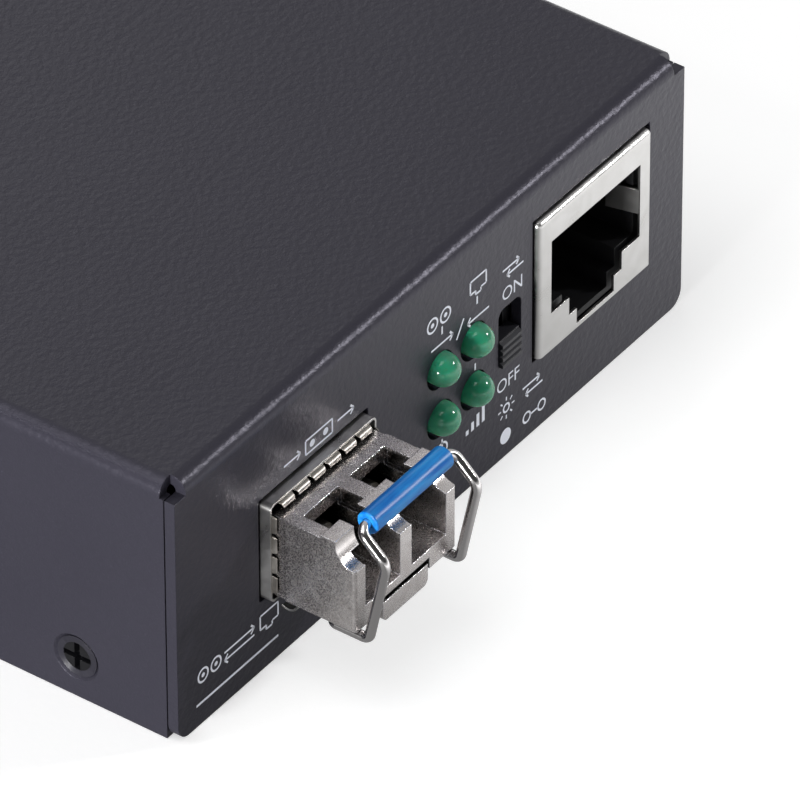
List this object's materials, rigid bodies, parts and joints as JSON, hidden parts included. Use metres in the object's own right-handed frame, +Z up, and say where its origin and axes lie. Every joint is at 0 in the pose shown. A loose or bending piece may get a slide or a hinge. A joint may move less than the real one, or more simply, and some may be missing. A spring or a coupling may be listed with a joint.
{
  "type": "media converter",
  "caption": "Black steel fibre media converter with lamps, a slide switch, a network socket and a plug-in optical module with a blue wire bail",
  "frame": {"origin": "on the underside, at the middle of the casing's width and depth", "axes": "+Z up through the top, -Y out of the front panel with the sockets, +X to the right seen from the front"},
  "size_m": [0.07, 0.106, 0.026],
  "materials": {
    "black_enamel": "satin",
    "tray_enamel": "satin",
    "black_screw": "satin",
    "steel_fastener": "satin",
    "tinned_steel": "gloss",
    "nickel_casting": "gloss",
    "spring_steel": "satin",
    "gold_plate": "gloss",
    "board_laminate": "satin",
    "black_plastic": "matte",
    "chip_plastic": "matte",
    "blue_plastic": "gloss",
    "green_lens": "gloss",
    "white_plastic": "matte",
    "ceramic_part": "matte",
    "ferrite": "matte"
  },
  "bodies": {
    "chassis": {"top_cover": "black_enamel", "base_tray": "tray_enamel", "case_screws": "black_screw", "standoffs": "steel_fastener", "board_screws": "steel_fastener", "circuit_board": "board_laminate", "rj45_shield": "tinned_steel", "rj45_housing": "black_plastic", "rj45_contacts": "gold_plate", "sfp_cage": "tinned_steel", "cage_collar": "tinned_steel", "cage_latch_spring": "tinned_steel", "sfp_connector": "black_plastic", "lamp_1": "green_lens", "lamp_2": "green_lens", "lamp_3": "green_lens", "lamp_4": "green_lens", "lamp_holders": "black_plastic", "lamp_leads": "steel_fastener", "switch_body": "black_plastic", "switch_terminals": "steel_fastener", "inlet_body": "black_plastic", "inlet_pin": "steel_fastener", "inlet_spring": "steel_fastener", "main_chip": "chip_plastic", "line_transformer": "chip_plastic", "crystal_can": "steel_fastener", "capacitors": "steel_fastener", "power_coil": "ferrite", "regulator": "chip_plastic", "chip_parts": "ceramic_part"},
    "module": {"module_body": "nickel_casting", "module_shell": "tinned_steel", "module_board": "board_laminate", "transmit_barrel": "steel_fastener", "receive_barrel": "steel_fastener", "rocker_pin": "steel_fastener"},
    "bail": {"bail_wire": "spring_steel", "bail_sleeve": "blue_plastic"},
    "rocker": {"latch_rocker": "nickel_casting"},
    "switch": {"switch_knob": "black_plastic"}
  },
  "joints": [
    {"name": "module_slide", "type": "slide", "parent": "chassis", "child": "module", "axis": [0, -1, 0], "range_m": [0, 0.046], "deforming": ["cage_latch_spring"]},
    {"name": "bail_hinge", "type": "hinge", "parent": "module", "child": "bail", "pos_m": [-0.01665, -0.0532, 0.0075], "axis": [1, 0, 0], "range_deg": [0, 90]},
    {"name": "rocker_tilt", "type": "hinge", "parent": "module", "child": "rocker", "pos_m": [-0.01665, -0.0505, 0.0084], "axis": [1, 0, 0], "range_deg": [0, 5]},
    {"name": "switch_slide", "type": "slide", "parent": "chassis", "child": "switch", "axis": [0, 0, 1], "range_m": [0, 0.0028]}
  ],
  "couplings": [
    {"joint": "rocker_tilt", "follows": "bail_hinge", "ratio": 0.0555}
  ]
}
